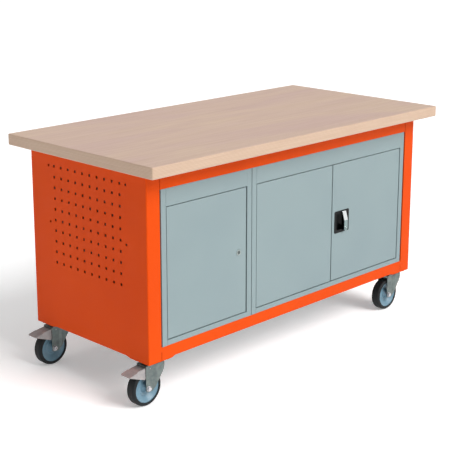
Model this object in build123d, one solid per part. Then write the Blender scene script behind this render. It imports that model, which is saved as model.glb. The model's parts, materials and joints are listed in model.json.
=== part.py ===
from build123d import *
import os

# Mobile workbench: a plywood top on a folded sheet-steel frame with two lockable cabinets, on four casters.
# Units are millimetres. +Z is up, +X runs to the right as seen from the front, and the front faces -Y.
# Everything is drawn about the middle of the frame at floor level. The two brake pedals stand out past the
# worktop's left end, so each piece is moved by BENCH_X as it is written, and the origin is then under the
# middle of the whole.

os.makedirs("parts", exist_ok=True)

# Overall sizes
TOP_LENGTH, TOP_DEPTH, TOP_THICK = 1500.0, 750.0, 40.0
TOP_EDGE_R = 4.0
BODY_W, BODY_D, BODY_H = 1420.0, 600.0, 640.0
CASTER_H = 155.0
WHEEL_R = 62.5

# Frame, folded from 2 mm sheet
FRAME_T = 2.0
POST_W = 56.0
POST_RETURN = 30.0
RAIL_DEPTH = 42.0
TOP_RAIL_H = 60.0
BOTTOM_RAIL_H = 42.0
FOOT_DROP = 5.0
FOOT_RUN = 92.0
FOOT_SLOPE = 22.0
SEAM = 2.0
WELD_H = 16.0
PLATE_T = 5.0

# Perforated field in each side frame
HOLE_PITCH, HOLE_SQUARE, HOLES = 38.0, 9.0, 10
HOLE_TOP_DROP = 50.5
BRACKET_SPAN_Y, BRACKET_SPAN_Z, BRACKET_HOLE_R = 400.0, 200.0, 4.5

# Cabinets, folded from 1.2 mm sheet
SHEET = 1.2
CAB_END_GAP, CAB_MID_GAP, CAB_SETBACK = 6.0, 2.5, 0.8
CAB_SPLIT_X = -225.0
CAB_BACK_CLEAR = 10.0
STRIP_W = 22.0
STRIP_RETURN = 19.0
FASCIA_H = 60.0
PLINTH_H = 18.0
SHELF_Z = 462.0
SHELF_FRONT_SETBACK = 62.0
SHELF_LIP = 25.0

# Doors
DOOR_RECESS, DOOR_GAP, DOOR_T, DOOR_LIP = 1.2, 3.0, 18.0, 15.0
LEAF_GAP, FREE_GAP = 4.0, 4.5
PIN_INSET, PIN_R, PIN_RUN = 5.0, 2.5, 0.05
LUG = 13.0

# Left door's cam lock
LOCK_EDGE, LOCK_Z = 37.0, 447.0
LOCK_FLANGE_R, LOCK_BODY_R, LOCK_PLUG_R, LOCK_BODY_L = 10.5, 8.5, 6.0, 18.2
CAM_W, CAM_T, CAM_REACH = 14.0, 2.5, 48.0

# Right door's turning handle
DISH, DISH_EDGE, DISH_Z = 85.0, 13.0, 447.0
DISH_RIM, DISH_PROUD, DISH_DEPTH = 11.0, 1.8, 13.0
LEVER_W, LEVER_LENGTH, LEVER_GAP = 21.0, 76.0, 0.6
LEVER_THIN, LEVER_THICK, LEVER_SLOPE_LENGTH = 3.5, 13.5, 34.0
PIVOT_OFFSET, PIVOT_UP = 9.0, 16.5
SPINDLE_R, BOSS_R = 5.0, 9.5
ROD_W, ROD_T, ROD_TRAVEL, ROD_RUN = 12.0, 3.0, 18.0, 0.3
GEARBOX_W, GEARBOX_H, GEARBOX_T = 44.0, 110.0, 11.0

# Casters
CASTER_IN_X, CASTER_IN_Y, TRAIL = 57.0, 48.0, 38.5
CASTER_PLATE = (104.0, 84.0, 3.0)
CASTER_SLOT_X, CASTER_SLOT_Y, BOLT_R, BOLT_HOLE_R = 80.0, 60.0, 4.0, 4.3
RACE_R, RACE_H, CROWN_R, SWIVEL_GAP = 27.0, 6.0, 27.0, 1.0
KINGPIN_R, RUNNING = 7.0, 0.06
FORK_T, FORK_INSIDE = 2.5, 21.0
FOOT_BACK, FOOT_FRONT, FOOT_Z = 10.0, -20.0, 50.0
LEG_FRONT, LEG_KNEE_Z = 29.0, 120.0
FOOT_ROUND, KNEE_ROUND = 9.0, 40.0
LEG_STEP, LEG_STEP_X = 4.5, (-17.0, -9.0)
TYRE_W, RIM_R, HUB_HALF = 36.0, 50.5, 19.5
AXLE_R = 5.0

# Brake pedals, measured from the caster's swivel axis and from the floor
PEDAL_PIN = (-30.0, 131.0)
PEDAL_PIN_R = 2.5
PEDAL_ROOT, PEDAL_KNEE, PEDAL_TIP = (-40.0, 137.5), (-74.0, 134.0), (-119.0, 124.0)
PEDAL_SKIRT = (-52.0, 96.0)
PEDAL_W, PEDAL_T, CHEEK_T, CHEEK_OUT = 48.0, 2.2, 2.0, 20.6
SHOE = ((-72.0, -56.0), (128.5, 134.0), 24.0)

# Levels and faces worked out from the sizes above
BODY_Z0 = CASTER_H
BODY_Z1 = BODY_Z0 + BODY_H
FRONT, REAR = -BODY_D / 2, BODY_D / 2
SIDE_X = BODY_W / 2
RAIL_Z0 = BODY_Z0 + FOOT_DROP
CAB_Z0 = RAIL_Z0 + BOTTOM_RAIL_H
CAB_Z1 = BODY_Z1 - TOP_RAIL_H
CAB_FRONT = FRONT + CAB_SETBACK
CAB_BACK = REAR - CAB_BACK_CLEAR
CAB_END_X = SIDE_X - POST_W - CAB_END_GAP
LEFT_CAB = (-CAB_END_X, CAB_SPLIT_X - CAB_MID_GAP / 2)
RIGHT_CAB = (CAB_SPLIT_X + CAB_MID_GAP / 2, CAB_END_X)
DOOR_Y0 = CAB_FRONT + DOOR_RECESS
DOOR_Y1 = DOOR_Y0 + DOOR_T
DOOR_Z0 = CAB_Z0 + PLINTH_H + DOOR_GAP
DOOR_Z1 = CAB_Z1 - FASCIA_H - DOOR_GAP
LEFT_DOOR = (LEFT_CAB[0] + STRIP_W + DOOR_GAP, LEFT_CAB[1] - STRIP_W - FREE_GAP)
PAIR = (RIGHT_CAB[0] + STRIP_W + DOOR_GAP, RIGHT_CAB[1] - STRIP_W - DOOR_GAP)
PAIR_MIDDLE = sum(PAIR) / 2
CENTRE_DOOR = (PAIR[0], PAIR_MIDDLE - LEAF_GAP / 2)
RIGHT_DOOR = (PAIR_MIDDLE + LEAF_GAP / 2, PAIR[1])
PIN_Y = DOOR_Y0 + PIN_INSET
PIN_XS = (LEFT_DOOR[0] + PIN_INSET, CENTRE_DOOR[0] + PIN_INSET, RIGHT_DOOR[1] - PIN_INSET)
LOCK_X = LEFT_DOOR[1] - LOCK_EDGE
DISH_X = RIGHT_DOOR[0] + DISH_EDGE + DISH / 2
PIVOT_X = DISH_X + PIVOT_OFFSET
PIVOT_Z = DISH_Z - DISH / 2 + PIVOT_UP
CASTERS = {
    "front_left": (-SIDE_X + CASTER_IN_X, FRONT + CASTER_IN_Y),
    "rear_left": (-SIDE_X + CASTER_IN_X, REAR - CASTER_IN_Y),
    "front_right": (SIDE_X - CASTER_IN_X, FRONT + CASTER_IN_Y),
    "rear_right": (SIDE_X - CASTER_IN_X, REAR - CASTER_IN_Y),
}
BRAKED = ("front_left", "rear_left")
PEDAL_REACH = SIDE_X - CASTER_IN_X - PEDAL_TIP[0] - TOP_LENGTH / 2
BENCH_X = PEDAL_REACH / 2


def block(x, y, z):
    """A box from three (low, high) pairs."""
    size = [hi - lo for lo, hi in (x, y, z)]
    middle = [(hi + lo) / 2 for lo, hi in (x, y, z)]
    return Pos(*middle) * Box(*size)


def rod(r, at, length, axis="Z"):
    """A round bar that starts at a point and runs along +X, +Y or +Z."""
    turn = {"X": Rot(0, 90, 0), "Y": Rot(-90, 0, 0), "Z": Rot(0, 0, 0)}[axis]
    along = {"X": (length / 2, 0, 0), "Y": (0, length / 2, 0), "Z": (0, 0, length / 2)}[axis]
    return Pos(*at) * Pos(*along) * turn * Cylinder(r, length)


def fuse(pieces):
    """One solid from pieces that touch or overlap."""
    whole = pieces[0]
    for piece in pieces[1:]:
        whole = whole + piece
    return whole


def save(name, *solids):
    """Writes a node, moved so that the origin is under the middle of the whole bench."""
    kept = [Pos(BENCH_X, 0, 0) * s for s in solids]
    export_step(kept[0] if len(kept) == 1 else Compound(children=kept), f"parts/{name}.step")


def mirrored_x(shape):
    return mirror(shape, about=Plane.YZ)


def mirrored_y(shape):
    return mirror(shape, about=Plane.XZ)


# ---------------------------------------------------------------- worktop and frame
def worktop():
    board = block(
        (-TOP_LENGTH / 2, TOP_LENGTH / 2), (-TOP_DEPTH / 2, TOP_DEPTH / 2), (BODY_Z1, BODY_Z1 + TOP_THICK)
    )
    return fillet(board.edges(), TOP_EDGE_R)


def side_holes(x):
    """Cutters for one side frame: the field of square holes, and the four round bracket holes beside it."""
    half = (HOLES - 1) * HOLE_PITCH / 2
    top = BODY_Z1 - HOLE_TOP_DROP
    cutters = []
    for column in range(HOLES):
        for row in range(HOLES):
            at = (x, -half + column * HOLE_PITCH, top - row * HOLE_PITCH)
            cutters.append(Pos(*at) * Box(4 * FRAME_T, HOLE_SQUARE, HOLE_SQUARE))
    for y in (-BRACKET_SPAN_Y / 2, BRACKET_SPAN_Y / 2):
        for drop in (0.0, BRACKET_SPAN_Z):
            cutters.append(rod(BRACKET_HOLE_R, (x - 2 * FRAME_T, y, top - drop), 4 * FRAME_T, "X"))
    return Compound(children=cutters)


def left_side_frame():
    """Side panel, both post faces with their returns, and the top and bottom flanges, from one sheet."""
    t = FRAME_T
    outer_x, inner_x = -SIDE_X, -SIDE_X + POST_W
    full_z = (BODY_Z0, BODY_Z1)
    bend_out, bend_in = 4.0, 2.0
    outer = block((outer_x, inner_x), (FRONT, REAR), full_z)
    outer = fillet(outer.edges().filter_by(Axis.Z).group_by(Axis.X)[0], bend_out)
    inner = block((outer_x + t, inner_x + t), (FRONT + t, REAR - t), full_z)
    inner = fillet(inner.edges().filter_by(Axis.Z).group_by(Axis.X)[0], bend_in)
    shell = outer - inner
    returns = [
        block((inner_x - t, inner_x), (FRONT, FRONT + POST_RETURN), full_z),
        block((inner_x - t, inner_x), (REAR - POST_RETURN, REAR), full_z),
    ]
    flange_x = (outer_x + t / 2, outer_x + POST_RETURN)
    foot_free_y = (FRONT + FOOT_RUN + FOOT_SLOPE, REAR - FOOT_RUN - FOOT_SLOPE)
    flanges = [
        block(flange_x, (FRONT + t / 2, REAR - t / 2), (BODY_Z1 - t, BODY_Z1)),
        block(flange_x, foot_free_y, (RAIL_Z0, RAIL_Z0 + t)),
    ]
    frame = fuse([shell, *returns, *flanges])
    run, slope = BODY_D / 2 - FOOT_RUN, BODY_D / 2 - FOOT_RUN - FOOT_SLOPE
    relief = Polyline(
        (-run, BODY_Z0), (-slope, RAIL_Z0), (slope, RAIL_Z0), (run, BODY_Z0), close=True
    )
    cut = extrude(Plane.YZ * make_face(relief), amount=SIDE_X + 1, both=True)
    return frame - cut - side_holes(outer_x)


def front_rail(z0, z1, foot):
    """A C-section rail between the posts. A seam parts its face from them, except where a foot is welded."""
    t, end = FRAME_T, SIDE_X - POST_W
    face_end = end - SEAM
    face = block((-face_end, face_end), (FRONT, FRONT + t), (z0, z1))
    if foot:
        face = face + block((-end, end), (FRONT, FRONT + t), (z1 - WELD_H, z1))
    flanges = [
        block((-end, end), (FRONT + t / 2, FRONT + RAIL_DEPTH), (z, z + t)) for z in (z0, z1 - t)
    ]
    rail = fuse([face, *flanges])
    rail = fillet(rail.edges().filter_by(Axis.X).group_by(Axis.Y)[0], t * 0.75)
    if not foot:
        return rail
    for x, y in caster_bolt_places("front_left") + caster_bolt_places("front_right"):
        rail = rail - rod(BOLT_HOLE_R, (x, y, z0 - 1), t + 2)
    toe_run = 42.0
    toe = make_face(
        Polyline(
            (face_end, z0 + t),
            (face_end, BODY_Z0),
            (face_end - toe_run, BODY_Z0),
            (face_end - toe_run - FOOT_SLOPE, z0 + t),
            close=True,
        )
    )
    toe = fillet(toe.vertices().sort_by(Axis.X)[1:2], toe_run / 3)
    tab = Pos(0, FRONT + t, 0) * extrude(Plane.XZ * toe, amount=t)
    return fuse([rail, tab, mirrored_x(tab)])


def mounting_plates():
    """Thick plates in the feet, under the rails' flanges, which carry the casters."""
    x = (-SIDE_X + FRAME_T, -SIDE_X + CASTER_IN_X + CASTER_PLATE[0] / 2)
    y = (FRONT + FRAME_T, FRONT + CASTER_IN_Y + CASTER_PLATE[1] / 2)
    post_return = block(
        (-SIDE_X + POST_W - FRAME_T, -SIDE_X + POST_W), (FRONT, FRONT + POST_RETURN), (BODY_Z0, BODY_Z1)
    )
    plate = block(x, y, (BODY_Z0, BODY_Z0 + PLATE_T))
    corners = plate.edges().filter_by(Axis.Z).sort_by(lambda e: e.center().X + e.center().Y)
    plate = fillet(corners[-1], 8)
    corners = plate.edges().filter_by(Axis.Z).sort_by(lambda e: e.center().X + e.center().Y)
    plate = fillet(corners[0], 2.5) - post_return
    for cx, cy in caster_bolt_places("front_left"):
        plate = plate - rod(BOLT_HOLE_R, (cx, cy, BODY_Z0 - 1), PLATE_T + 2)
    pair = [plate, mirrored_x(plate)]
    return pair + [mirrored_y(p) for p in pair]


def frame_screws():
    """Screws from the top flanges into the board, and from the rails into the cabinets."""
    screws = []
    head_r, head_h, shank_r, bite = 6.0, 3.0, 2.5, 24.0
    side_flange_z = BODY_Z1 - FRAME_T
    for sx in (-1, 1):
        for y in (-180.0, 0.0, 180.0):
            x = sx * (SIDE_X - POST_RETURN / 2)
            head = rod(head_r, (x, y, side_flange_z - head_h), head_h)
            screws.append(head + rod(shank_r, (x, y, side_flange_z), FRAME_T + bite))
    for x in (-430.0, 0.0, 430.0):
        for y in (FRONT + RAIL_DEPTH / 2, REAR - RAIL_DEPTH / 2):
            head = rod(head_r, (x, y, side_flange_z - head_h), head_h)
            screws.append(head + rod(shank_r, (x, y, side_flange_z), FRAME_T + bite))
    return screws


def drilled_worktop_and_rails(board, side, top_rail):
    """Takes the screws' shanks out of the board and the flanges, so that each screw fills its own hole."""
    screws = Compound(children=frame_screws())
    return board - screws, side - screws, top_rail - screws


# ---------------------------------------------------------------- cabinets
def cabinet_side(edge_x, inward):
    """A side panel with the front strip and its return. inward is +1 on a left side and -1 on a right one."""

    def span(a, b):
        return tuple(sorted((edge_x + inward * a, edge_x + inward * b)))

    z = (CAB_Z0, CAB_Z1)
    panel = block(span(0, SHEET), (CAB_FRONT, CAB_BACK), z)
    strip = block(span(0, STRIP_W), (CAB_FRONT, CAB_FRONT + SHEET), z)
    lip = block(span(STRIP_W - SHEET, STRIP_W), (CAB_FRONT, CAB_FRONT + STRIP_RETURN), z)
    side = fuse([panel, strip, lip])
    front_edges = side.edges().filter_by(Axis.Z).group_by(Axis.Y)[0]
    return fillet(front_edges, SHEET * 0.8)


def pin_holes(shape, xs, z, span):
    for x in xs:
        shape = shape - rod(PIN_R, (x, PIN_Y, z), span)
    return shape


def cabinet_floor(cab, pins):
    x0, x1 = cab
    between = (x0 + STRIP_W + 0.3, x1 - STRIP_W - 0.3)
    inside = (x0 + SHEET, x1 - SHEET)
    top = CAB_Z0 + PLINTH_H
    rear_y = CAB_BACK - SHEET
    front_run = (CAB_FRONT, CAB_FRONT + STRIP_RETURN + 1)
    plinth = block(between, (CAB_FRONT, CAB_FRONT + SHEET), (CAB_Z0, top))
    deck = fuse(
        [
            plinth,
            block(between, front_run, (top - SHEET, top)),
            block(inside, (front_run[1] - 0.5, rear_y), (top - SHEET, top)),
            block(inside, (rear_y - SHEET, rear_y), (CAB_Z0, top)),
        ]
    )
    deck = fillet(deck.edges().filter_by(Axis.X).group_by(Axis.Y)[0], SHEET * 0.8)
    return pin_holes(deck, pins, top - SHEET - 1, SHEET + 2)


def rod_slot():
    """The slot in the right cabinet's floor that the lower lock rod drops through."""
    y0, y1 = rod_y()
    spare = 2.5
    x = (PIVOT_X - ROD_W / 2 - spare, PIVOT_X + ROD_W / 2 + spare)
    return block(x, (y0 - spare, y1 + spare), (CAB_Z0 + PLINTH_H - 2 * SHEET, CAB_Z0 + PLINTH_H + SHEET))


def cabinet_fascia(cab, pins):
    x0, x1 = cab
    between = (x0 + STRIP_W + 0.3, x1 - STRIP_W - 0.3)
    z0, z1 = CAB_Z1 - FASCIA_H, CAB_Z1 - SHEET
    fascia = fuse(
        [
            block(between, (CAB_FRONT, CAB_FRONT + SHEET), (z0, CAB_Z1)),
            block(between, (CAB_FRONT, CAB_FRONT + STRIP_RETURN), (z0, z0 + SHEET)),
            block(between, (CAB_FRONT + STRIP_RETURN - SHEET, CAB_FRONT + STRIP_RETURN), (z0, z0 + 12)),
        ]
    )
    fascia = fillet(fascia.edges().filter_by(Axis.X).group_by(Axis.Y)[0], SHEET * 0.8)
    return pin_holes(fascia, pins, z0 - 1, SHEET + 2)


def cabinet_roof(cab):
    x0, x1 = cab
    y = (CAB_FRONT + STRIP_RETURN + 1, CAB_BACK - SHEET)
    return block((x0 + SHEET, x1 - SHEET), y, (CAB_Z1 - SHEET, CAB_Z1))


def cabinet_back(cab):
    x0, x1 = cab
    return block((x0 + SHEET, x1 - SHEET), (CAB_BACK - SHEET, CAB_BACK), (CAB_Z0, CAB_Z1))


def cabinet_shelf(cab):
    """A tray-edged shelf, short enough at the front to clear the lock rods."""
    x = (cab[0] + SHEET + 1.5, cab[1] - SHEET - 1.5)
    y = (CAB_FRONT + SHELF_FRONT_SETBACK, CAB_BACK - SHEET - 2)
    lip_z = (SHELF_Z - SHELF_LIP, SHELF_Z)
    hem = 8.0
    return fuse(
        [
            block(x, y, (SHELF_Z - SHEET, SHELF_Z)),
            block(x, (y[0], y[0] + SHEET), lip_z),
            block(x, (y[1] - SHEET, y[1]), lip_z),
            block(x, (y[0], y[0] + hem), (lip_z[0], lip_z[0] + SHEET)),
        ]
    )


def shelf_clips():
    """Angle clips on the side panels, under each shelf's corners."""
    clips = []
    leg, width = 14.0, 20.0
    top = SHELF_Z - SHEET
    for cab in (LEFT_CAB, RIGHT_CAB):
        for edge, inward in ((cab[0] + SHEET, 1), (cab[1] - SHEET, -1)):
            for y in (CAB_FRONT + SHELF_FRONT_SETBACK + 25, CAB_BACK - 60):
                ys = (y, y + width)
                ledge = block(tuple(sorted((edge, edge + inward * leg))), ys, (top - SHEET, top))
                wall = block(tuple(sorted((edge, edge + inward * SHEET))), ys, (top - leg, top))
                clips.append(ledge + wall)
    return clips


def hinge_pins():
    """Headed pins: one up through each plinth and one down through each fascia, along each door's edge."""
    pins = []
    reach, head_r, head_h = 9.0, 4.5, 2.0
    lower, upper = CAB_Z0 + PLINTH_H - SHEET, CAB_Z1 - FASCIA_H + SHEET
    shank = SHEET + DOOR_GAP + reach
    for x in PIN_XS:
        pins.append(rod(head_r, (x, PIN_Y, lower - head_h), head_h) + rod(PIN_R, (x, PIN_Y, lower), shank))
        pins.append(rod(head_r, (x, PIN_Y, upper), head_h) + rod(PIN_R, (x, PIN_Y, upper - shank), shank))
    return pins


# ---------------------------------------------------------------- doors
def door_pan(door, hinge_x):
    """A folded pan, open at the back inside its lips, with a pin lug at both ends of its hinge edge."""
    x0, x1 = door
    t = SHEET
    pan = block((x0, x1), (DOOR_Y0, DOOR_Y1), (DOOR_Z0, DOOR_Z1))
    pan = fillet(pan.edges().group_by(Axis.Y)[0], 1.5)
    hollow = block((x0 + t, x1 - t), (DOOR_Y0 + t, DOOR_Y1 - t), (DOOR_Z0 + t, DOOR_Z1 - t))
    back = block(
        (x0 + DOOR_LIP, x1 - DOOR_LIP),
        (DOOR_Y1 - 2 * t, DOOR_Y1 + t),
        (DOOR_Z0 + DOOR_LIP, DOOR_Z1 - DOOR_LIP),
    )
    pan = pan - hollow - back
    lug_x = (hinge_x - PIN_INSET + t / 2, hinge_x + LUG - PIN_INSET)
    if hinge_x > sum(door) / 2:
        lug_x = (hinge_x + PIN_INSET - LUG, hinge_x + PIN_INSET - t / 2)
    lug_y, lug_h, spare = (DOOR_Y0 + t / 2, DOOR_Y0 + LUG), 6.0, 2.0
    for z in (DOOR_Z0 + t / 2, DOOR_Z1 - t / 2 - lug_h):
        pan = pan + block(lug_x, lug_y, (z, z + lug_h))
    for z in (DOOR_Z0 - spare, DOOR_Z1 - lug_h - spare):
        pan = pan - rod(PIN_R + PIN_RUN, (hinge_x, PIN_Y, z), lug_h + 2 * spare)
    return pan


def left_lock():
    """(door hole, barrel with its nut, plug, cam) of the cam lock, unlocked, with the cam pointing up."""
    at = (LOCK_X, DOOR_Y0, LOCK_Z)
    proud, nut_r, nut_h, play = 2.0, 12.0, 4.0, 0.05
    flange = rod(LOCK_FLANGE_R, (LOCK_X, DOOR_Y0 - proud, LOCK_Z), proud, "Y")
    flange = fillet(flange.edges().group_by(Axis.Y)[0], 0.8)
    body = rod(LOCK_BODY_R, at, LOCK_BODY_L, "Y")
    nut_sketch = Plane.XZ * RegularPolygon(nut_r, 6)
    nut = Pos(LOCK_X, DOOR_Y0 + SHEET + nut_h, LOCK_Z) * extrude(nut_sketch, amount=nut_h)
    bore = rod(LOCK_PLUG_R + play, (LOCK_X, DOOR_Y0 - proud - 1, LOCK_Z), LOCK_BODY_L + proud + 2, "Y")
    barrel = fuse([flange, body, nut]) - bore
    plug_face = DOOR_Y0 - proud - 0.4
    plug_end = DOOR_Y0 + LOCK_BODY_L + 0.5
    plug = rod(LOCK_PLUG_R, (LOCK_X, plug_face, LOCK_Z), plug_end - plug_face, "Y")
    plug = plug - block(
        (LOCK_X - 0.6, LOCK_X + 0.6), (plug_face - 1, plug_face + 8), (LOCK_Z - 4, LOCK_Z + 4)
    )
    half = CAM_W / 2
    cam_z = (LOCK_Z, LOCK_Z + CAM_REACH - half)
    cam = block((LOCK_X - half, LOCK_X + half), (plug_end, plug_end + CAM_T), cam_z)
    for z in (LOCK_Z, LOCK_Z + CAM_REACH - half):
        cam = cam + rod(half, (LOCK_X, plug_end, z), CAM_T, "Y")
    cam = cam + rod(5, (LOCK_X, plug_end + CAM_T, LOCK_Z), 4, "Y")
    hole = rod(LOCK_BODY_R, (LOCK_X, DOOR_Y0 - 1, LOCK_Z), SHEET + 2, "Y")
    return hole, barrel, plug, cam


def handle_dish():
    """The sunk dish that the lever turns over, and the hole that it sits in."""
    half = DISH / 2
    y0 = DOOR_Y0 - DISH_PROUD
    rim = block((DISH_X - half, DISH_X + half), (y0, DOOR_Y0), (DISH_Z - half, DISH_Z + half))
    rim = fillet(rim.edges().filter_by(Axis.Y), 6)
    rim = fillet(rim.edges().group_by(Axis.Y)[0], 1)
    cup = half - DISH_RIM / 2
    cup_x, cup_z = (DISH_X - cup, DISH_X + cup), (DISH_Z - cup, DISH_Z + cup)
    tub = block(cup_x, (DOOR_Y0, DOOR_Y0 + DISH_DEPTH + 2), cup_z)
    tub = fillet(tub.edges().filter_by(Axis.Y), 5)
    well = half - DISH_RIM
    well_x, well_z = (DISH_X - well, DISH_X + well), (DISH_Z - well, DISH_Z + well)
    hollow = block(well_x, (y0 - 1, DOOR_Y0 + DISH_DEPTH), well_z)
    hollow = fillet(hollow.edges().filter_by(Axis.Y), 6)
    boss = rod(BOSS_R, (PIVOT_X, y0, PIVOT_Z), DISH_DEPTH + 2, "Y")
    bore = rod(SPINDLE_R + RUNNING, (PIVOT_X, y0 - 1, PIVOT_Z), DISH_DEPTH + 8, "Y")
    dish = fuse([rim, tub]) - hollow
    hole = block(
        (DISH_X - cup, DISH_X + cup), (DOOR_Y0 - 1, DOOR_Y0 + SHEET + 1), (DISH_Z - cup, DISH_Z + cup)
    )
    hole = fillet(hole.edges().filter_by(Axis.Y), 5)
    return dish + boss - bore, hole


def handle_lever():
    """(lever with its spindle, lock plug). The lever is thin at its top and thick round the plug."""
    back = DOOR_Y0 - DISH_PROUD - LEVER_GAP
    half, front = LEVER_W / 2, back - LEVER_THICK
    top = LEVER_LENGTH - half
    outline = Pos(0, top / 2) * Rectangle(LEVER_W, top) + Circle(half)
    outline = fillet(outline.vertices().group_by(Axis.Y)[-1], 4)
    lever = extrude(Plane.XZ * outline, amount=2 * LEVER_THICK, both=True)
    side = make_face(
        Polyline(
            (0, -half),
            (-LEVER_THICK, -half),
            (-LEVER_THICK, top - LEVER_SLOPE_LENGTH),
            (-LEVER_THIN, top),
            (0, top),
            close=True,
        )
    )
    lever = lever & extrude(Plane.YZ * side, amount=half, both=True)
    lever = Pos(PIVOT_X, back, PIVOT_Z) * lever
    rims = [e for e in lever.edges() if e.center().Y < back - LEVER_THIN / 2]
    lever = fillet(rims, 1.6)
    spindle = rod(SPINDLE_R, (PIVOT_X, back, PIVOT_Z), DOOR_Y1 - back + 2.5, "Y")
    plug_r, play = 6.5, 0.05
    pocket = rod(plug_r + play, (PIVOT_X, front - 1, PIVOT_Z), 9, "Y")
    plug = rod(plug_r, (PIVOT_X, front - 0.8, PIVOT_Z), 8, "Y")
    plug = chamfer(plug.edges().group_by(Axis.Y)[0], 0.6)
    slot = block((PIVOT_X - 0.6, PIVOT_X + 0.6), (front - 2, front + 5), (PIVOT_Z - 4, PIVOT_Z + 4))
    return lever + spindle - pocket, plug - slot


def rod_y():
    y0 = DOOR_Y1 + 4
    return y0, y0 + ROD_T


def gearbox():
    """The case behind the dish that the spindle turns in and the two rods slide in."""
    half = GEARBOX_W / 2
    y = (DOOR_Y1, DOOR_Y1 + GEARBOX_T)
    case = block((PIVOT_X - half, PIVOT_X + half), y, (PIVOT_Z - GEARBOX_H / 2, PIVOT_Z + GEARBOX_H / 2))
    case = fillet(case.edges().filter_by(Axis.Y), 5)
    y0, y1 = rod_y()
    slot_half = ROD_W / 2 + ROD_RUN
    slot = block(
        (PIVOT_X - slot_half, PIVOT_X + slot_half),
        (y0 - ROD_RUN, y1 + ROD_RUN),
        (PIVOT_Z - GEARBOX_H, PIVOT_Z + GEARBOX_H),
    )
    return case - slot - rod(SPINDLE_R + RUNNING, (PIVOT_X, DOOR_Y1 - 1, PIVOT_Z), 4, "Y")


def lock_rods():
    """Flat rods up and down from the gearbox, each ending just inside the door's edge."""
    x = (PIVOT_X - ROD_W / 2, PIVOT_X + ROD_W / 2)
    inner, end_clear = 30.0, 1.5
    upper = block(x, rod_y(), (PIVOT_Z + inner, DOOR_Z1 - end_clear))
    lower = block(x, rod_y(), (DOOR_Z0 + end_clear, PIVOT_Z - inner))
    upper = chamfer(upper.edges().filter_by(Axis.X).group_by(Axis.Z)[-1].sort_by(Axis.Y)[-1], 2)
    lower = chamfer(lower.edges().filter_by(Axis.X).group_by(Axis.Z)[0].sort_by(Axis.Y)[-1], 2)
    return upper, lower


def rod_guides():
    """Bridges on the door's lips that keep the rods in line."""
    guides = []
    y0, y1 = rod_y()
    slot_half, wall, height = ROD_W / 2 + ROD_RUN, 2.0, 12.0
    for z in (DOOR_Z0 + 1.5, DOOR_Z1 - 1.5 - height):
        outer = block(
            (PIVOT_X - slot_half - 9, PIVOT_X + slot_half + 9),
            (DOOR_Y1, y1 + ROD_RUN + wall),
            (z, z + height),
        )
        channel = block(
            (PIVOT_X - slot_half, PIVOT_X + slot_half), (y0 - ROD_RUN, y1 + ROD_RUN), (z - 1, z + height + 1)
        )
        guides.append(outer - channel)
    return guides


# ---------------------------------------------------------------- casters
def caster_bolt_places(which):
    cx, cy = CASTERS[which]
    return [
        (cx + sx * CASTER_SLOT_X / 2, cy + sy * CASTER_SLOT_Y / 2) for sx in (-1, 1) for sy in (-1, 1)
    ]


def top_plate(which):
    """The fixed plate with its four bolt holes and the bearing race pressed down from it."""
    cx, cy = CASTERS[which]
    length, width, t = CASTER_PLATE
    plate = Pos(cx, cy, CASTER_H - t / 2) * Box(length, width, t)
    plate = fillet(plate.edges().filter_by(Axis.Z), 8)
    race = rod(RACE_R, (cx, cy, CASTER_H - t - RACE_H), RACE_H)
    race = fillet(race.edges().group_by(Axis.Z)[0], 2)
    plate = plate + race - rod(KINGPIN_R, (cx, cy, CASTER_H - 30), 31)
    for x, y in caster_bolt_places(which):
        plate = plate - rod(BOLT_HOLE_R, (x, y, CASTER_H - t - 1), t + 2)
    return plate


def crown_level():
    """Top of the fork's crown."""
    return CASTER_H - CASTER_PLATE[2] - RACE_H - SWIVEL_GAP


def kingpin(which):
    """The rivet that holds the fork under the race."""
    cx, cy = CASTERS[which]
    head_h, head_r, below = 4.0, 11.0, crown_level() - 5.5
    head = rod(head_r, (cx, cy, below - head_h), head_h)
    head = fillet(head.edges().group_by(Axis.Z)[0], 2)
    return head + rod(KINGPIN_R, (cx, cy, below), CASTER_H - below)


def leg_outline(top):
    """The side view of a fork leg: wide under the swivel, swept back to a rounded foot at the axle."""
    back = -TRAIL - FOOT_BACK
    corners = [(back, top), (back, FOOT_Z), (FOOT_FRONT, FOOT_Z), (LEG_FRONT, LEG_KNEE_Z), (LEG_FRONT, top)]
    outline = make_face(Polyline(*corners, close=True))
    knee = outline.vertices().sort_by(Axis.Y)[2]
    outline = fillet(knee, KNEE_ROUND)
    foot = outline.vertices().sort_by(Axis.Y)[:2]
    return fillet(foot, FOOT_ROUND)


def leg_plan():
    """The top view of the leg on the -Y side: its front part steps outward, clear of the tyre."""
    inner, outer = -FORK_INSIDE, -FORK_INSIDE - FORK_T
    x0, x1 = -TRAIL - FOOT_BACK - 1, LEG_FRONT + 1
    a, b = LEG_STEP_X
    return make_face(
        Polyline(
            (x0, inner), (a, inner), (b, inner - LEG_STEP), (x1, inner - LEG_STEP),
            (x1, outer - LEG_STEP), (b, outer - LEG_STEP), (a, outer), (x0, outer),
            close=True,
        )
    )


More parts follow.
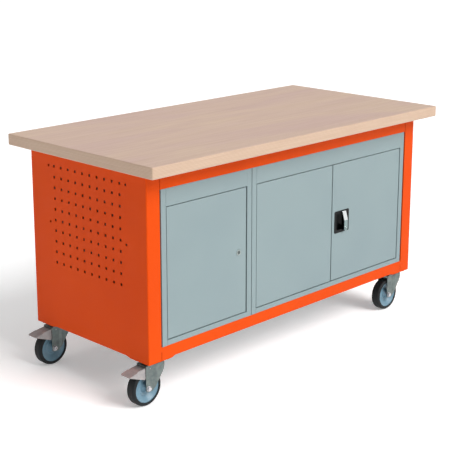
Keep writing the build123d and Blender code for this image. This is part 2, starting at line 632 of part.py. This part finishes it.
def fork(which):
    """Two legs that sweep back from the swivel to the axle, and the crown that joins them."""
    cx, cy = CASTERS[which]
    top, t = crown_level(), FORK_T
    side_view = extrude(Plane.XZ * leg_outline(top - t), amount=CASTER_IN_Y, both=True)
    leg = side_view & extrude(leg_plan(), amount=CASTER_H)
    legs = Pos(cx, cy, 0) * (leg + mirror(leg, Plane.XZ))
    back, step = cx - TRAIL - FOOT_BACK, cx + sum(LEG_STEP_X) / 2
    half = FORK_INSIDE + t
    crown = block((back, cx + LEG_FRONT), (cy - half, cy + half), (top - 2 * t, top - t))
    wide = block(
        (step, cx + LEG_FRONT), (cy - half - LEG_STEP, cy + half + LEG_STEP), (top - 2 * t, top - t)
    )
    disc = rod(CROWN_R, (cx, cy, top - 2 * t), 2 * t)
    bore = rod(KINGPIN_R + RUNNING, (cx, cy, top - 20), 30)
    through = rod(AXLE_R, (cx - TRAIL, cy - 40, WHEEL_R), 80, "Y")
    whole = fuse([*legs.solids(), crown, wide, disc]) - bore - through
    if which in BRAKED:
        whole = whole - rod(PEDAL_PIN_R + RUNNING, (cx + PEDAL_PIN[0], cy - 40, PEDAL_PIN[1]), 80, "Y")
    return whole


def wheel_profile(points):
    """A solid of revolution about the axle, from (radius, across) points mirrored across the wheel."""
    other = [(r, -a) for r, a in reversed(points)]
    ring = make_face(Polyline(*points, *other, close=True))
    return revolve(ring, Axis.Y)


def wheel(which):
    """(hub, tyre): a dished plastic wheel with a rubber tread, put on the axle."""
    cx, cy = CASTERS[which]
    at = Pos(cx - TRAIL, cy, WHEEL_R)
    bore = AXLE_R + RUNNING
    hub = wheel_profile(
        [(bore, HUB_HALF), (11, HUB_HALF), (13.5, 13), (19, 4.5), (27, 3.5), (47, 15.5), (RIM_R, 15.5)]
    )
    half = TYRE_W / 2
    tyre = block((-WHEEL_R, WHEEL_R), (-half, half), (-WHEEL_R, WHEEL_R))
    tyre = rod(WHEEL_R, (0, -half, 0), TYRE_W, "Y") - rod(RIM_R, (0, -half - 1, 0), TYRE_W + 2, "Y")
    outer_edges = tyre.edges().filter_by(GeomType.CIRCLE).group_by(lambda e: round(e.radius, 2))[-1]
    tyre = fillet(outer_edges, 8)
    return at * hub, at * tyre


def axle(which):
    """The wheel bolt, with its head, washers and nut outside the fork."""
    cx, cy = CASTERS[which]
    x, z = cx - TRAIL, WHEEL_R
    outside = FORK_INSIDE + FORK_T
    head_h, washer_t = 5.5, 1.5
    bolt = rod(AXLE_R, (x, cy - outside, z), 2 * outside, "Y")
    washers = [
        rod(9.5, (x, cy - outside - washer_t, z), washer_t, "Y"),
        rod(9.5, (x, cy + outside, z), washer_t, "Y"),
    ]
    hexagon = extrude(Plane.XZ * RegularPolygon(8, 6), amount=head_h)
    heads = [
        Pos(x, cy - outside - washer_t, z) * hexagon,
        Pos(x, cy + outside + washer_t + head_h, z) * hexagon,
    ]
    return fuse([bolt, *washers, *heads])


def brake_pedal(which):
    """A pressed pedal: a tread between two deep cheeks, the shoe under it, and its hinge pin."""
    cx, cy = CASTERS[which]
    t = PEDAL_T

    def lowered(point, by):
        return (point[0], point[1] - by)

    tread = make_face(
        Polyline(
            PEDAL_ROOT,
            PEDAL_KNEE,
            PEDAL_TIP,
            lowered(PEDAL_TIP, t),
            lowered(PEDAL_KNEE, t),
            lowered(PEDAL_ROOT, t),
            close=True,
        )
    )
    tread = extrude(Plane.XZ * tread, amount=PEDAL_W / 2, both=True)
    tread = fillet(tread.edges().filter_by(Axis.Z).group_by(Axis.X)[0], 7)
    waist = PEDAL_W / 2 - CHEEK_OUT
    for side in (-1, 1):
        y = side * (PEDAL_W / 2)
        tread = tread - block((-86, 0), tuple(sorted((y, y - side * waist))), (110, 145))
    cheek = make_face(
        Polyline(
            (PEDAL_PIN[0] + 6, PEDAL_PIN[1] - 6),
            (PEDAL_PIN[0] + 6, PEDAL_PIN[1] + 4),
            PEDAL_ROOT,
            PEDAL_KNEE,
            PEDAL_TIP,
            lowered(PEDAL_TIP, t),
            PEDAL_SKIRT,
            close=True,
        )
    )
    cheek = extrude(Plane.XZ * cheek, amount=CHEEK_T)
    cheeks = [Pos(0, CHEEK_OUT, 0) * cheek, Pos(0, -CHEEK_OUT + CHEEK_T, 0) * cheek]
    shoe = block(SHOE[0], (-SHOE[2] / 2, SHOE[2] / 2), SHOE[1])
    half = FORK_INSIDE + FORK_T
    pin = rod(PEDAL_PIN_R, (PEDAL_PIN[0], -half, PEDAL_PIN[1]), 2 * half, "Y")
    return Pos(cx, cy, 0) * fuse([tread, *cheeks, shoe, pin])


def caster_bolts():
    """Bolts up through the caster plates and mounting plates, and at the inner end the rail's flange too."""
    bolts = []
    hexagon = extrude(RegularPolygon(7.2, 6), amount=5)
    under = CASTER_H - CASTER_PLATE[2]
    for which in CASTERS:
        for x, y in caster_bolt_places(which):
            in_flange = abs(x) < SIDE_X - POST_W and abs(y) > REAR - RAIL_DEPTH
            nut_z = BODY_Z0 + PLATE_T + (FRAME_T if in_flange else 0)
            shank = rod(BOLT_R, (x, y, under), nut_z + 8 - under)
            bolts.append(fuse([Pos(x, y, under - 5) * hexagon, shank, Pos(x, y, nut_z) * hexagon]))
    return bolts


# ---------------------------------------------------------------- write the nodes
def write_frame():
    board, left, top_rail = drilled_worktop_and_rails(
        worktop(), left_side_frame(), front_rail(CAB_Z1, BODY_Z1, foot=False)
    )
    bottom_rail = front_rail(RAIL_Z0, CAB_Z0, foot=True)
    save("worktop", board)
    save("left_side_frame", left)
    save("right_side_frame", mirrored_x(left))
    save("front_top_rail", top_rail)
    save("rear_top_rail", mirrored_y(top_rail))
    save("front_bottom_rail", bottom_rail)
    save("rear_bottom_rail", mirrored_y(bottom_rail))
    save("caster_mounting_plates", *mounting_plates())
    save("frame_screws", *frame_screws())


def write_cabinets():
    for side, cab in (("left", LEFT_CAB), ("right", RIGHT_CAB)):
        pins = [x for x in PIN_XS if cab[0] < x < cab[1]]
        save(f"{side}_cabinet_left_side", cabinet_side(cab[0], 1))
        save(f"{side}_cabinet_right_side", cabinet_side(cab[1], -1))
        save(f"{side}_cabinet_back", cabinet_back(cab))
        floor = cabinet_floor(cab, pins)
        save(f"{side}_cabinet_floor", floor - rod_slot() if side == "right" else floor)
        save(f"{side}_cabinet_roof", cabinet_roof(cab))
        save(f"{side}_cabinet_fascia", cabinet_fascia(cab, pins))
        save(f"{side}_cabinet_shelf", cabinet_shelf(cab))
    save("shelf_clips", *shelf_clips())
    save("hinge_pins", *hinge_pins())


def write_doors():
    hole, barrel, plug, cam = left_lock()
    save("left_door", door_pan(LEFT_DOOR, PIN_XS[0]) - hole)
    save("left_lock_barrel", barrel)
    save("left_lock_plug", plug)
    save("left_lock_cam", cam)
    save("centre_door", door_pan(CENTRE_DOOR, PIN_XS[1]))
    dish, dish_hole = handle_dish()
    save("right_door", door_pan(RIGHT_DOOR, PIN_XS[2]) - dish_hole)
    save("handle_dish", dish)
    lever, lever_plug = handle_lever()
    save("handle_lever", lever)
    save("handle_lock_plug", lever_plug)
    save("handle_gearbox", gearbox())
    upper, lower = lock_rods()
    save("upper_lock_rod", upper)
    save("lower_lock_rod", lower)
    save("rod_guides", *rod_guides())


def write_casters():
    for which in CASTERS:
        hub, tyre = wheel(which)
        save(f"{which}_fork", fork(which))
        save(f"{which}_hub", hub)
        save(f"{which}_tyre", tyre)
        save(f"{which}_axle", axle(which))
        if which in BRAKED:
            save(f"{which}_brake_pedal", brake_pedal(which))
    save("caster_top_plates", *[top_plate(which) for which in CASTERS])
    save("caster_kingpins", *[kingpin(which) for which in CASTERS])
    save("caster_bolts", *caster_bolts())


write_frame()
write_cabinets()
write_doors()
write_casters()
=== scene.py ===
"""Looks for the mobile workbench: materials, studio and camera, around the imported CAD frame."""
import json
import math

import bmesh
import bpy
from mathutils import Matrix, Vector


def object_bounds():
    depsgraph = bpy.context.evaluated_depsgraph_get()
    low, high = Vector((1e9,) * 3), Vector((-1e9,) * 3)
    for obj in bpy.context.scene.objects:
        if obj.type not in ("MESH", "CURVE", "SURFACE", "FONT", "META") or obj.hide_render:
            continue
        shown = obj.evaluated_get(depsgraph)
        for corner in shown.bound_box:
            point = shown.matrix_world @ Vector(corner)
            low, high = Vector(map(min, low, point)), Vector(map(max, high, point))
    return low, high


MM = 0.001
CASTERS = ("front_left", "rear_left", "front_right", "rear_right")
BRAKED = ("front_left", "rear_left")

# Where most of a noise texture's values lie, and the narrower range that gives clear patches
NOISE_RANGE = (0.3, 0.7)
PATCH_RANGE = (0.35, 0.65)

# How far paint and plating round off an edge
COAT_EDGE = 0.8 * MM
ZINC_EDGE = 0.7 * MM
PLASTIC_EDGE = 0.6 * MM
CHROME_EDGE = 0.5 * MM
BOARD_EDGE = 4.0 * MM

# The worktop's glued layers: how thick one is, and how far it wanders up or down
PLY_LAYER = 2.1 * MM
PLY_WANDER = 0.5 * MM

# Camera: the point that it looks at, where it stands as seen from there, and its lens
VIEW_TARGET = (-0.0424, 0.0, 0.6112)
VIEW_AZIMUTH = -45.45
VIEW_ELEVATION = 13.77
VIEW_DISTANCE = 4.338
LENS_MM = 93.3
SENSOR_MM = 36.0
SHIFT_UP = -0.10
FARTHEST_SEEN = 200

# Lights: a soft sun at the front, and a soft box overhead
KEY_DIRECTION = (0.16, -0.74, 0.65)
KEY_SOFTNESS = 36
KEY_STRENGTH = 3.0
TOP_PLACE = (0.0, 0.0, 5.0)
TOP_SIZE = (5.0, 4.0)
TOP_POWER = 50.0

# Walls: the heights between which their light fades, from 0 at the horizon to 1 overhead,
# and how bright they are at each
WALL_HEIGHTS = (0.12, 0.40)
WALL_LIGHT = (0.9, 0.26)

# Floor: a disc just below the wheels that glows a little, so that it stays white
FLOOR_RADIUS = 40.0
FLOOR_SIDES = 96
FLOOR_DROP = 0.2 * MM
FLOOR_GLOW = 0.25

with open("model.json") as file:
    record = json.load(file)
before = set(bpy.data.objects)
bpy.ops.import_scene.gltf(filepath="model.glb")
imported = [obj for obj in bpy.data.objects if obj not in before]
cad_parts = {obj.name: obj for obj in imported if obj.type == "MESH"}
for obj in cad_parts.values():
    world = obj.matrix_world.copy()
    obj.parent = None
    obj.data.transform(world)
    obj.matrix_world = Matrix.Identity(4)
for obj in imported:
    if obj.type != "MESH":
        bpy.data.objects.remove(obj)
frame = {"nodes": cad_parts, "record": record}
cad_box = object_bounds()


def srgb(red, green, blue):
    """A linear colour from the 0 to 255 values that a screen shows."""
    def linear(v):
        v = v / 255
        return v / 12.92 if v <= 0.04045 else ((v + 0.055) / 1.055) ** 2.4

    return (linear(red), linear(green), linear(blue), 1.0)


# ---------------------------------------------------------------- node helpers
class Graph:
    """Short names for building one material's nodes."""

    def __init__(self, name):
        self.material = bpy.data.materials.new(name)
        self.material.use_nodes = True
        self.tree = self.material.node_tree
        self.shader = self.tree.nodes["Principled BSDF"]

    def add(self, kind, settings=None, **inputs):
        """A new node. An input's name is written with _ for each space."""
        node = self.tree.nodes.new(kind)
        for key, value in (settings or {}).items():
            setattr(node, key, value)
        for key, value in inputs.items():
            self.feed(node, key.replace("_", " "), value)
        return node

    def feed(self, node, socket, value):
        """Links an output into a socket, or sets the socket's own value."""
        if isinstance(value, bpy.types.NodeSocket):
            self.tree.links.new(value, node.inputs[socket])
        else:
            node.inputs[socket].default_value = value

    def place(self, scale=(1, 1, 1)):
        """Object coordinates in metres, stretched by a scale."""
        coords = self.add("ShaderNodeTexCoord").outputs["Object"]
        return self.add("ShaderNodeMapping", Vector=coords, Scale=scale).outputs["Vector"]

    def split(self, coordinates):
        """The X, Y and Z of the object's own coordinates or normals."""
        vector = self.add("ShaderNodeTexCoord").outputs[coordinates]
        return self.add("ShaderNodeSeparateXYZ", Vector=vector).outputs

    def noise(self, where, scale, detail=3.0, roughness=0.55, distortion=0.0):
        node = self.add("ShaderNodeTexNoise", Vector=where, Scale=scale, Detail=detail)
        self.feed(node, "Roughness", roughness)
        self.feed(node, "Distortion", distortion)
        return node.outputs["Fac"]

    def spread(self, value, source, target=(0.0, 1.0)):
        """Carries a value from one range to another and clamps it."""
        node = self.add("ShaderNodeMapRange", Value=value)
        for socket, number in zip(("From Min", "From Max"), source):
            node.inputs[socket].default_value = number
        for socket, number in zip(("To Min", "To Max"), target):
            node.inputs[socket].default_value = number
        return node.outputs["Result"]

    def math(self, operation, a, b=0.0):
        node = self.add("ShaderNodeMath", {"operation": operation})
        self.feed(node, 0, a)
        self.feed(node, 1, b)
        return node.outputs["Value"]

    def mix(self, factor, a, b):
        """Blends colour a into colour b. The Mix node numbers its colour sockets 6, 7 and 2."""
        node = self.add("ShaderNodeMix", {"data_type": "RGBA", "blend_type": "MIX"})
        self.feed(node, 0, factor)
        self.feed(node, 6, a)
        self.feed(node, 7, b)
        return node.outputs[2]

    def bump(self, height, strength, distance, onto=None):
        node = self.add("ShaderNodeBump", Height=height, Strength=strength, Distance=distance)
        if onto is not None:
            self.feed(node, "Normal", onto)
        return node.outputs["Normal"]

    def soft_edges(self, radius):
        """Normals that turn round sharp edges, as paint and plating do."""
        return self.add("ShaderNodeBevel", {"samples": 4}, Radius=radius).outputs["Normal"]

    def finish(self, **sockets):
        """Fills the shader's sockets and hands the material over."""
        for key, value in sockets.items():
            self.feed(self.shader, key.replace("_", " "), value)
        return self.material


# ---------------------------------------------------------------- materials
def powder_coat(name, colour, shade, roughness):
    """Satin powder coat: fine orange peel, and a faint drift of tone and gloss over a panel."""
    g = Graph(name)
    where = g.place()
    drift = g.noise(where, 2.2, detail=2.0)
    peel = g.noise(where, 900.0, detail=2.0)
    sheen = g.noise(where, 14.0)
    tone = g.mix(g.spread(drift, PATCH_RANGE), colour, shade)
    tone = g.mix(g.spread(peel, NOISE_RANGE, (0.0, 0.05)), tone, shade)
    gloss = g.spread(sheen, NOISE_RANGE, (roughness - 0.03, roughness + 0.04))
    normal = g.bump(peel, strength=0.12, distance=0.2 * MM, onto=g.soft_edges(COAT_EDGE))
    return g.finish(Base_Color=tone, Roughness=gloss, Normal=normal, Specular_IOR_Level=0.08)


def beech_face(g, rings, fibre):
    """The board's upper and lower face: broad patches, rings, fine fibre and short flecks."""
    light, pink = srgb(203, 177, 155), srgb(196, 167, 156)
    dark, fleck_colour = srgb(181, 151, 132), srgb(156, 122, 102)
    broad = g.noise(g.place((0.8, 3.2, 1.0)), 1.9, roughness=0.5, distortion=0.8)
    cells = g.add("ShaderNodeTexVoronoi", Vector=g.place((60.0, 620.0, 60.0)), Scale=1.0)
    fleck = g.spread(cells.outputs["Distance"], (0.10, 0.22), (1.0, 0.0))
    face = g.mix(g.spread(broad, PATCH_RANGE), light, pink)
    face = g.mix(g.spread(rings, (0.42, 0.70), (0.0, 0.38)), face, dark)
    face = g.mix(g.spread(fibre, NOISE_RANGE, (0.0, 0.22)), face, dark)
    return g.mix(g.math("MULTIPLY", fleck, 0.35), face, fleck_colour)


def beech_edge(g, ply):
    """The board's upright edges: glued layers, with grain along them."""
    light, dark = srgb(197, 171, 148), srgb(164, 134, 112)
    along = g.noise(g.place((5.0, 5.0, 420.0)), 1.0, detail=4.0)
    edge = g.mix(g.math("MULTIPLY", ply, 0.55), light, dark)
    return g.mix(g.spread(along, (0.35, 0.7), (0.0, 0.40)), edge, dark)


def ply_layers(g):
    """0 and 1 by turns up the board, one for each glued layer."""
    drift = g.noise(g.place((3.0, 3.0, 1.0)), 1.0, detail=2.0)
    wander = g.spread(drift, (0.0, 1.0), (-PLY_WANDER, PLY_WANDER))
    height = g.math("ADD", g.split("Object")["Z"], wander)
    stripe = g.math("PINGPONG", g.math("DIVIDE", height, PLY_LAYER), 1.0)
    return g.spread(stripe, PATCH_RANGE)


def beech_board():
    """Beech ply: its face where it looks up or down, and its layers on the upright edges."""
    g = Graph("beech_board")
    rings = g.noise(g.place((1.2, 34.0, 1.0)), 2.4, detail=4.0, roughness=0.6, distortion=1.1)
    fibre = g.noise(g.place((14.0, 700.0, 60.0)), 1.0, detail=2.0)
    ply = ply_layers(g)
    is_face = g.spread(g.math("ABSOLUTE", g.split("Normal")["Z"]), (0.55, 0.85))
    colour = g.mix(is_face, beech_edge(g, ply), beech_face(g, rings, fibre))
    edge_relief = g.math("MULTIPLY", ply, g.math("SUBTRACT", 1.0, is_face))
    relief = g.math("ADD", g.math("MULTIPLY", fibre, 0.5), edge_relief)
    normal = g.bump(relief, strength=0.18, distance=0.25 * MM, onto=g.soft_edges(BOARD_EDGE))
    gloss = g.spread(rings, NOISE_RANGE, (0.46, 0.58))
    return g.finish(Base_Color=colour, Roughness=gloss, Normal=normal, Coat_Weight=0.12, Coat_Roughness=0.35)


def zinc_plate(name, colour, dull, roughness=0.42, metallic=0.72):
    """Plated steel: mottled, faintly drawn, with softened edges."""
    g = Graph(name)
    mottle = g.noise(g.place(), 60.0, detail=4.0, roughness=0.6)
    drawn = g.noise(g.place((300.0, 300.0, 25.0)), 1.0, detail=2.0)
    tone = g.mix(g.spread(mottle, PATCH_RANGE), colour, dull)
    gloss = g.spread(mottle, NOISE_RANGE, (roughness - 0.08, roughness + 0.10))
    normal = g.bump(drawn, strength=0.10, distance=0.15 * MM, onto=g.soft_edges(ZINC_EDGE))
    return g.finish(Base_Color=tone, Metallic=metallic, Roughness=gloss, Normal=normal)


def chrome_plate():
    """The lever's plating, with painted light: a near-white painted highlight on the slope that faces up,
    and painted reflection and shade on the upright flats and sides.
    """
    g = Graph("chrome_plate")
    smudge = g.noise(g.place(), 120.0)
    facing = g.split("Normal")
    # Facing masks for painted light: the lever's sides, and the slope that faces up
    painted_side_shade = g.spread(g.math("ABSOLUTE", facing["X"]), (0.4, 0.7))
    painted_top_highlight = g.spread(facing["Z"], (0.06, 0.22))
    # Painted reflection and shade: teal grey on the upright flats, darker on the sides
    flats = g.mix(painted_side_shade, srgb(140, 158, 158), srgb(58, 74, 80))
    # Painted highlight: near white on the slope that faces up
    tone = g.mix(painted_top_highlight, flats, srgb(242, 246, 246))
    gloss = g.spread(smudge, NOISE_RANGE, (0.10, 0.20))
    normal = g.bump(smudge, strength=0.02, distance=0.1 * MM, onto=g.soft_edges(CHROME_EDGE))
    return g.finish(Base_Color=tone, Metallic=1.0, Roughness=gloss, Normal=normal)


def moulded_plastic(name, colour, shade, roughness, grain, strength, shine):
    """Moulded plastic with a fine grain."""
    g = Graph(name)
    where = g.place()
    texture = g.noise(where, grain, detail=2.0)
    drift = g.noise(where, 25.0)
    tone = g.mix(g.spread(drift, NOISE_RANGE), colour, shade)
    gloss = g.spread(drift, NOISE_RANGE, (roughness - 0.04, roughness + 0.05))
    normal = g.bump(texture, strength, distance=0.12 * MM, onto=g.soft_edges(PLASTIC_EDGE))
    return g.finish(Base_Color=tone, Roughness=gloss, Normal=normal, Specular_IOR_Level=shine)


def tread_rubber():
    """Black rubber with a little dust on it."""
    g = Graph("tread_rubber")
    where = g.place()
    dust = g.noise(where, 45.0, detail=4.0, roughness=0.65)
    grain = g.noise(where, 1100.0, detail=2.0)
    tone = g.mix(g.spread(dust, (0.45, 0.75), (0.0, 0.8)), srgb(14, 18, 20), srgb(25, 31, 34))
    gloss = g.spread(dust, NOISE_RANGE, (0.55, 0.72))
    normal = g.bump(grain, strength=0.25, distance=0.15 * MM)
    return g.finish(Base_Color=tone, Roughness=gloss, Normal=normal, Specular_IOR_Level=0.3)


def studio_floor():
    """Matt white that glows a little, so that it stays white under the soft lights."""
    g = Graph("studio_floor")
    drift = g.noise(g.place(), 0.7, detail=2.0)
    tone = g.mix(g.spread(drift, NOISE_RANGE), srgb(252, 252, 252), srgb(250, 250, 250))
    return g.finish(Base_Color=tone, Roughness=0.75, Emission_Color=tone, Emission_Strength=FLOOR_GLOW)


def slot_looks():
    """The material of each slot in the record."""
    return {
        "worktop": beech_board(),
        "frame_paint": powder_coat("orange_coat", srgb(210, 71, 3), srgb(204, 66, 2), 0.48),
        "cabinet_paint": powder_coat("blue_grey_coat", srgb(132, 147, 149), srgb(128, 143, 146), 0.50),
        "zinc": zinc_plate("zinc_plate", srgb(118, 128, 125), srgb(98, 108, 108)),
        "chrome": chrome_plate(),
        "black_plastic": moulded_plastic(
            "black_plastic", srgb(8, 9, 10), srgb(12, 13, 14),
            roughness=0.42, grain=1400.0, strength=0.25, shine=0.2,
        ),
        "wheel_centre": moulded_plastic(
            "wheel_centre", srgb(104, 134, 150), srgb(94, 126, 142),
            roughness=0.32, grain=700.0, strength=0.15, shine=0.5,
        ),
        "tyre": tread_rubber(),
    }


def node_looks():
    """The nodes whose finish differs from the rest of their slot."""
    axle = zinc_plate("bright_zinc", srgb(206, 204, 206), srgb(186, 186, 190), roughness=0.30)
    pedal = zinc_plate("pedal_zinc", srgb(164, 160, 159), srgb(146, 143, 143), roughness=0.48, metallic=0.3)
    barrel = zinc_plate("dull_nickel", srgb(160, 170, 168), srgb(142, 152, 150), roughness=0.36)
    # The lock's plug in a darker nickel than its barrel
    plug = zinc_plate("darker_nickel", srgb(104, 112, 110), srgb(84, 92, 92), roughness=0.34)
    looks = {which + "_axle": axle for which in CASTERS}
    looks.update({which + "_brake_pedal": pedal for which in BRAKED})
    looks["left_lock_barrel"] = barrel
    looks["left_lock_plug"] = plug
    return looks


def paint_nodes():
    """Gives every CAD node the material of its slot, or its own."""
    by_slot = slot_looks()
    by_node = node_looks()
    for part in frame["record"]["subparts"]:
        materials = frame["nodes"][part["node"]].data.materials
        materials.clear()
        materials.append(by_node.get(part["node"], by_slot[part["material_slot"]]))


# ---------------------------------------------------------------- studio
def add_to_scene(name, data):
    thing = bpy.data.objects.new(name, data)
    bpy.context.scene.collection.objects.link(thing)
    return thing


def flat_disc(name, radius, material):
    mesh = bpy.data.meshes.new(name)
    shape = bmesh.new()
    bmesh.ops.create_circle(shape, cap_ends=True, segments=FLOOR_SIDES, radius=radius)
    shape.to_mesh(mesh)
    shape.free()
    mesh.materials.append(material)
    return add_to_scene(name, mesh)


def turned(direction):
    """The rotation that points an object's own Z axis along a direction."""
    return Vector(direction).to_track_quat("Z", "Y").to_euler()


def sun_light(name, towards, softness, strength):
    """A far, soft light. towards is the direction from the object to the light."""
    lamp = bpy.data.lights.new(name, "SUN")
    lamp.angle = math.radians(softness)
    lamp.energy = strength
    add_to_scene(name, lamp).rotation_euler = turned(towards)


def soft_box(name, position, aim, size, power):
    """A rectangular light that shines from a position towards the point aim."""
    lamp = bpy.data.lights.new(name, "AREA")
    lamp.shape = "RECTANGLE"
    lamp.size, lamp.size_y = size
    lamp.energy = power
    holder = add_to_scene(name, lamp)
    holder.location = position
    holder.rotation_euler = turned(Vector(position) - Vector(aim))


def studio_world():
    """A dim room whose walls are bright near the horizon."""
    world = bpy.data.worlds.new("studio")
    bpy.context.scene.world = world
    world.use_nodes = True
    nodes, links = world.node_tree.nodes, world.node_tree.links
    coords = nodes.new("ShaderNodeTexCoord")
    split = nodes.new("ShaderNodeSeparateXYZ")
    fade = nodes.new("ShaderNodeMapRange")
    fade.inputs["From Min"].default_value, fade.inputs["From Max"].default_value = WALL_HEIGHTS
    fade.inputs["To Min"].default_value, fade.inputs["To Max"].default_value = WALL_LIGHT
    links.new(coords.outputs["Generated"], split.inputs["Vector"])
    links.new(split.outputs["Z"], fade.inputs["Value"])
    links.new(fade.outputs["Result"], nodes["Background"].inputs["Strength"])
    nodes["Background"].inputs["Color"].default_value = (1.0, 1.0, 1.0, 1.0)


def build_studio():
    low, high = (Vector(corner) for corner in cad_box)
    floor = flat_disc("studio_floor", FLOOR_RADIUS, studio_floor())
    floor.location.z = low.z - FLOOR_DROP
    sun_light("key", KEY_DIRECTION, KEY_SOFTNESS, KEY_STRENGTH)
    soft_box("top_box", TOP_PLACE, (low + high) / 2, TOP_SIZE, TOP_POWER)
    studio_world()
    bpy.context.scene.view_settings.view_transform = "Standard"


def build_camera():
    azimuth, elevation = math.radians(VIEW_AZIMUTH), math.radians(VIEW_ELEVATION)
    flat = math.cos(elevation)
    back = Vector((flat * math.sin(azimuth), -flat * math.cos(azimuth), math.sin(elevation)))
    lens = bpy.data.cameras.new("camera")
    lens.lens = LENS_MM
    lens.sensor_width = SENSOR_MM
    lens.shift_y = SHIFT_UP
    lens.clip_end = FARTHEST_SEEN
    camera = add_to_scene("camera", lens)
    camera.location = Vector(VIEW_TARGET) + back * VIEW_DISTANCE
    camera.rotation_euler = turned(back)
    bpy.context.scene.camera = camera


paint_nodes()
build_studio()
build_camera()
